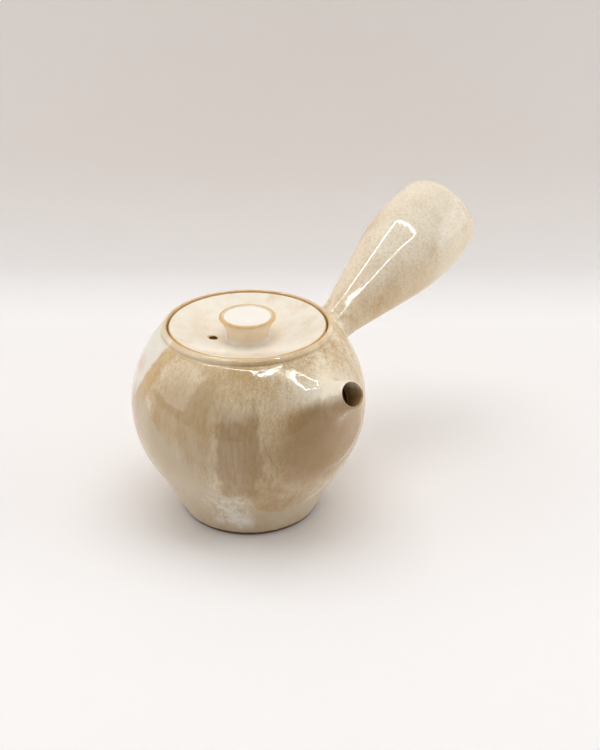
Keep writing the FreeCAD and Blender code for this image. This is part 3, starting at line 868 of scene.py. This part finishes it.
def level_distance(point):
    """Distance from the origin as seen from above."""
    flat = put(tree, "ShaderNodeVectorMath", operation="MULTIPLY", wires=[point, (1.0, 1.0, 0.0)])
    return put(tree, "ShaderNodeVectorMath", operation="LENGTH", wires=[flat.outputs[0]]).outputs["Value"]


vent_gap, from_axis = level_distance(from_vent.outputs[0]), level_distance(place)
halo = sums(tree, "ADD", between(tree, vent_gap, 1.6 * MM, 3.4 * MM, 0.7, 0.0),
            between(tree, vent_gap, 1.6 * MM, 1.9 * MM, 1.6, 0.0))
lid_height = put(tree, "ShaderNodeSeparateXYZ", [place]).outputs["Z"]
mottle = grain(tree, place, 120.0, 4.0, 0.6)
in_dish = sums(tree, "MULTIPLY", between(tree, from_axis, 9.0 * MM, 9.8 * MM, 1.0, 0.0),
               between(tree, lid_height, 82.4 * MM, 82.9 * MM))
on_knob = sums(tree, "MULTIPLY", between(tree, from_axis, 12.0 * MM, 12.6 * MM, 1.0, 0.0),
               between(tree, lid_height, 76.6 * MM, 78.6 * MM))
skin = wash(tree, ash.outputs["Color"], between(tree, mottle, 0.36, 0.58, 0.28, 0.62), white)
skin = wash(tree, wash(tree, skin, on_knob, honey, 0.4), in_dish, white, 0.9)
edged = put(tree, "ShaderNodeGroup", node_tree=thin_edge, wires={
    "Color": skin, "Thin": sums(tree, "MAXIMUM", thin, halo), "Place": place})
tree.links.new(edged.outputs[0], gloss.inputs["Base Color"])
tree.links.new(sums(tree, "ADD", 0.08, sums(tree, "MULTIPLY", ash.outputs["Dry"], 0.15)),
               gloss.inputs["Roughness"])
lay_glaze_relief(tree, ash, gloss)
lid = throw("lid_thrown", lid_rib, 200, 0.010, 2.4, lid_glaze, vented)
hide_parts("lid")
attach(lid, "lid")

knob_height, knob_base, knob_lip, knob_lip_height = 10.5, 8.2, 11.5, 0.7
knob_dish, knob_dish_depth, knob_fillet = 9.8, 2.8, 1.4

knob_top = dish_bottom + knob_height
lip_middle = knob_top - knob_lip_height
foot_point = (knob_base + knob_fillet, dish(knob_base + knob_fillet) + 0.03)
knob_rib = Rib(0.0, dish_bottom - 1.2).straight((foot_point[0], foot_point[1] - 0.9))
knob_rib.straight(foot_point, 0.4)
knob_rib.arrive((0.12, 0.99), (knob_base + 0.1, dish(knob_base) + knob_fillet), 0.2)
knob_rib.arrive((0.62, 0.78), (knob_lip, lip_middle), 0.4)
knob_rib.corner(0.6)
knob_rib.leave(UP, (knob_dish, knob_top), 0.15).corner(0.5)
knob_rib.rub((knob_dish + 0.9, knob_top - 0.3), 0.85, 2.5)
knob_rib.straight((2.2, knob_top - knob_dish_depth + 0.25), 0.5).corner(2.0)
knob_rib.arrive(INWARD, (0.0, knob_top - knob_dish_depth), 0.3)
knob = throw("knob_turned", knob_rib, 160, 0.012, 1.9, lid_glaze)
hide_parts("lid_knob")
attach(knob, "lid")


# Studio: a white table top that sweeps up into the wall behind the pot, the paper's colour darkening from the
# table up the wall as painted shade. Four narrow strips of light stand over it in a frame, which the glaze mirrors
# as a loop, and soft light comes from above and both sides.

camera_place, camera_bearing, camera_dip, camera_focus = (-309.2, -374.8, 307.4), 42.0, 27.08, 1337.0
image_height, sensor = 750.0, 36.0

view_data = bpy.data.cameras.new("camera")
view_data.sensor_fit, view_data.sensor_width = "AUTO", sensor
view_data.lens = camera_focus * sensor / image_height
camera = bpy.data.objects.new("camera", view_data)
bpy.context.scene.collection.objects.link(camera)
camera.location = [c * MM for c in camera_place]
camera.rotation_euler = (math.radians(90 - camera_dip), 0, math.radians(-camera_bearing))
bpy.context.scene.camera = camera

sweep_start, sweep_radius, table_front, table_half, wall_height = 175.0, 26.0, -260.0, 900.0, 600.0
back = polar(1.0, 90 - camera_bearing)
across = (-back[1], back[0])
cross_section = [(table_front, 0.0), (sweep_start, 0.0)]
for degrees in range(6, 91, 6):
    rise = math.radians(degrees)
    cross_section.append((sweep_start + sweep_radius * math.sin(rise), sweep_radius * (1 - math.cos(rise))))
cross_section.append((sweep_start + sweep_radius, wall_height))
sheet_points = [((d * back[0] + w * across[0]) * MM, (d * back[1] + w * across[1]) * MM, h * MM)
                for d, h in cross_section for w in (table_half, -table_half)]
sheet_faces = [(2 * i, 2 * i + 1, 2 * i + 3, 2 * i + 2) for i in range(len(cross_section) - 1)]
sheet_mesh = bpy.data.meshes.new("backdrop")
sheet_mesh.from_pydata(sheet_points, [], sheet_faces)
sheet_mesh.shade_smooth()
backdrop = bpy.data.objects.new("backdrop", sheet_mesh)
bpy.context.scene.collection.objects.link(backdrop)
paper = bpy.data.materials.new("paper")
paper.use_nodes = True
tree = paper.node_tree
paper_place = put(tree, "ShaderNodeTexCoord").outputs["Object"]
height = put(tree, "ShaderNodeSeparateXYZ", [paper_place]).outputs["Z"]
# The paper darkens from the table up into the wall: painted shade for the light falling off up the wall.
painted_wall_shade = blend(tree, between(tree, height, 1 * MM, 100 * MM), tone(248, 246, 245), tone(236, 229, 224))
tree.links.new(painted_wall_shade, tree.nodes["Principled BSDF"].inputs["Base Color"])
tree.nodes["Principled BSDF"].inputs["Roughness"].default_value = 0.8
sheet_mesh.materials.append(paper)


def lamp(name, place, aim, size, power):
    """A flat lamp of this size in mm, at its place and turned to what it lights."""
    light = bpy.data.lights.new(name, "AREA")
    light.shape, light.size, light.size_y = "RECTANGLE", size[0] * MM, size[1] * MM
    light.energy = power
    piece = bpy.data.objects.new(name, light)
    bpy.context.scene.collection.objects.link(piece)
    piece.location = [c * MM for c in place]
    piece.rotation_euler = Vector([b - a for a, b in zip(place, aim)]).to_track_quat("-Z", "Y").to_euler()
    return piece


pot_middle = (0, 0, 40)
overhead = lamp("overhead_soft", (60, 60, 900), pot_middle, (800, 800), 5.0)
overhead.visible_glossy = False
lamp("side_soft_left", (-640, 430, 380), pot_middle, (700, 600), 2.2)
lamp("side_soft_right", (610, -500, 330), pot_middle, (800, 640), 3.0)
frame_low, frame_high, frame_height, strip, strip_power = (-92, -150), (40, 75), 285.0, 7.0, 0.00013
middle_x, middle_y = (frame_low[0] + frame_high[0]) / 2, (frame_low[1] + frame_high[1]) / 2
wide, long = frame_high[0] - frame_low[0], frame_high[1] - frame_low[1]
for name, place, size in (("strip_left", (frame_low[0], middle_y), (strip, long + strip)),
                          ("strip_right", (frame_high[0], middle_y), (strip / 2, long + strip)),
                          ("strip_near", (middle_x, frame_low[1]), (wide - strip, strip)),
                          ("strip_far", (middle_x, frame_high[1]), (wide - strip, strip))):
    glint = lamp(name, (*place, frame_height), (*place, 0.0), size, strip_power * size[0] * size[1])
    glint.visible_diffuse = False

world = bpy.data.worlds.new("room")
bpy.context.scene.world = world
world.use_nodes = True
world.node_tree.nodes["Background"].inputs["Color"].default_value = (1.0, 0.995, 0.99, 1)
world.node_tree.nodes["Background"].inputs["Strength"].default_value = 0.31
bpy.context.scene.view_settings.view_transform = "Standard"
